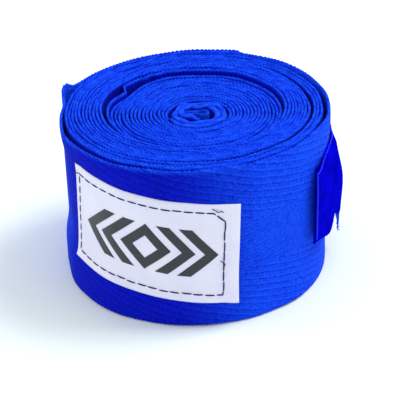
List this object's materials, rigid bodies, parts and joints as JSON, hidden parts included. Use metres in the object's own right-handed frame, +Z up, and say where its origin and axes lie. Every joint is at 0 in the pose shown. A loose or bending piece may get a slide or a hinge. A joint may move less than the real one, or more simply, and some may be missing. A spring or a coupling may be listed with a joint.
{
  "type": "hand wrap",
  "caption": "Rolled woven hand wrap standing on its edge, with a stitched label, a hook and loop closure tab round the outside and a thumb loop stowed in the core.",
  "frame": {"origin": "on the axis of the roll, at the level of the lower edge it stands on", "axes": "+Z up along the axis of the roll; -Y towards the side with the label; +X towards the closure's free end"},
  "size_m": [0.0816, 0.0801, 0.0508],
  "materials": {
    "tape": "matte royal blue woven cotton tape with a fine twill rib",
    "loop_tape": "matte narrow cotton tape",
    "label": "off-white woven satin with a soft sheen",
    "emblem_yarn": "charcoal woven figure",
    "thread": "dark blue polyester sewing thread",
    "loop_pile": "brushed loop pile",
    "hook_backing": "smooth nylon backing with a faint weave",
    "hooks": "rows of nylon hooks"
  },
  "bodies": {
    "roll": {"tape_roll": "tape", "thumb_loop": "loop_tape", "thumb_loop_stitching": "thread", "label": "label", "label_emblem": "emblem_yarn", "label_stitching": "thread", "loop_patch": "loop_pile", "loop_patch_stitching": "thread"},
    "loose_turn": {"outer_turn": "tape"},
    "closure": {"tape_end": "tape", "hook_tape": "hook_backing", "hook_field": "hooks", "hook_tape_stitching": "thread"}
  },
  "joints": [
    {"name": "outer_turn_lift", "type": "hinge", "parent": "roll", "child": "loose_turn", "pos_m": [-0.03032, 0.02567, 0.0254], "axis": [0, 0, 1], "range_deg": [0, 60]},
    {"name": "closure_peel", "type": "hinge", "parent": "loose_turn", "child": "closure", "pos_m": [0.01764, 0.0366, 0.0254], "axis": [0, 0, 1], "range_deg": [0, 120]}
  ]
}
